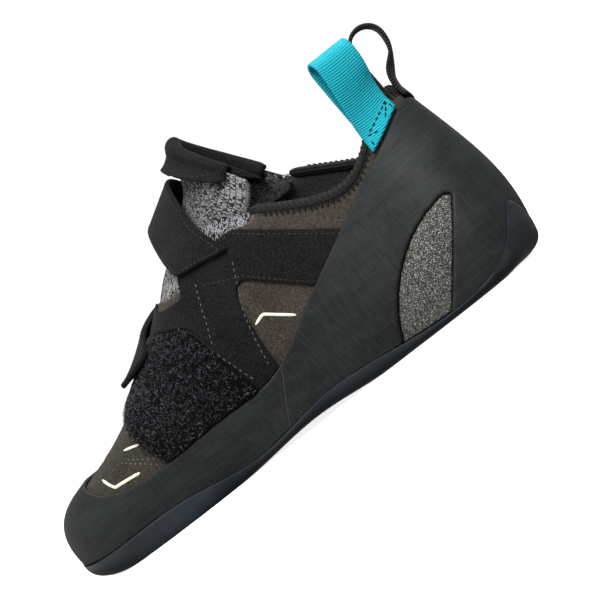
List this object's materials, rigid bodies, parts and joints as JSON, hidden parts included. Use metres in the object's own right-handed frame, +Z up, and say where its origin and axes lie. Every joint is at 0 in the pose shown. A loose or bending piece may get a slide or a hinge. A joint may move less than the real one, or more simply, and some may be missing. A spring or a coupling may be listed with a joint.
{
  "type": "climbing shoe",
  "caption": "Left rock-climbing shoe with hook-and-loop straps, wrapped rubber rand and sole, knit tongue, suede upper and webbing pull loops at the heel.",
  "frame": {"origin": "middle of the bounding box, on the floor under the sole", "axes": "+X towards the heel, +Y towards the inner side of the foot, +Z up"},
  "size_m": [0.261, 0.1026, 0.121],
  "materials": {
    "brown_suede": "brown-taupe suede with a short nap",
    "black_suede": "black microfibre suede, matt",
    "rand_rubber": "matt dark grey rubber with fine streaks",
    "sole_rubber": "smooth blue-black rubber with a soft sheen",
    "grey_knit": "speckled stretch knit",
    "window_fabric": "grey heathered fabric",
    "loop_pile": "fuzzy black loop pile",
    "binding_tape": "black edge tape with zigzag stitches",
    "footbed": "dark fabric footbed",
    "turquoise_webbing": "ribbed turquoise webbing",
    "black_webbing": "black twill webbing"
  },
  "bodies": {
    "root": {"upper": "brown_suede", "toe_rand": "rand_rubber", "heel_rand": "rand_rubber", "heel_window": "window_fabric", "outsole": "sole_rubber", "insole": "footbed", "tongue": "grey_knit", "tongue_pull": "black_suede", "side_overlay": "black_suede", "loop_pad": "loop_pile", "rear_strap": "black_suede", "front_strap": "black_suede", "collar_binding": "binding_tape", "pull_loop_outer": "turquoise_webbing", "pull_loop_inner": "black_webbing"}
  },
  "joints": []
}
